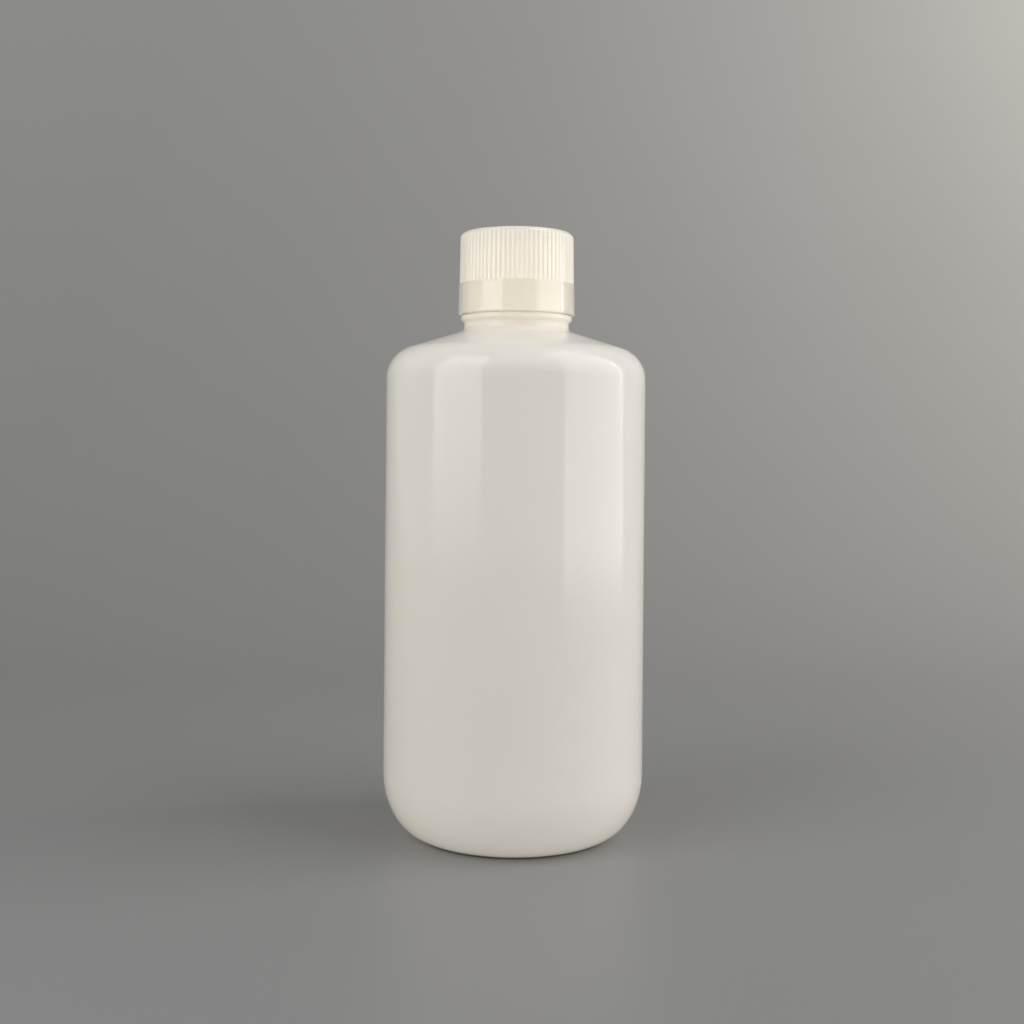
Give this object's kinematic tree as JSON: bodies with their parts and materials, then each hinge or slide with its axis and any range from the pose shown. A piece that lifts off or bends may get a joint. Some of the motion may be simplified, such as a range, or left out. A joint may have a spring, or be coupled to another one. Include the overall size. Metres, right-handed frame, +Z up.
{
  "type": "reagent bottle",
  "caption": "Narrow-mouth cylindrical plastic reagent bottle with a rounded heel and shoulder, closed by a ribbed screw cap over a loose sealing liner.",
  "frame": {"origin": "centre of the standing ring, on the surface that the bottle stands on", "axes": "+Z up along the bottle's axis towards the cap; X and Y are alike, and the picture looks along +Y"},
  "size_m": [0.092, 0.092, 0.2128],
  "materials": {
    "natural_polyethylene": "milky, translucent, smooth and glossy",
    "natural_polypropylene": "clear to milky, glossy",
    "foam_liner": "matte closed-cell foam"
  },
  "bodies": {
    "bottle": {"bottle": "natural_polyethylene"},
    "liner": {"cap_liner": "foam_liner"},
    "cap": {"screw_cap": "natural_polypropylene"}
  },
  "joints": [
    {"name": "cap_rise", "type": "slide", "parent": "bottle", "child": "liner", "axis": [0, 0, 1], "range_m": [0, 0.03]},
    {"name": "cap_turn", "type": "hinge", "parent": "liner", "child": "cap", "pos_m": [0, 0, 0.2098], "axis": [0, 0, 1], "range_deg": [0, 2550]}
  ],
  "couplings": [
    {"joint": "cap_rise", "follows": "cap_turn", "m_per_rad": 0.0006738}
  ]
}
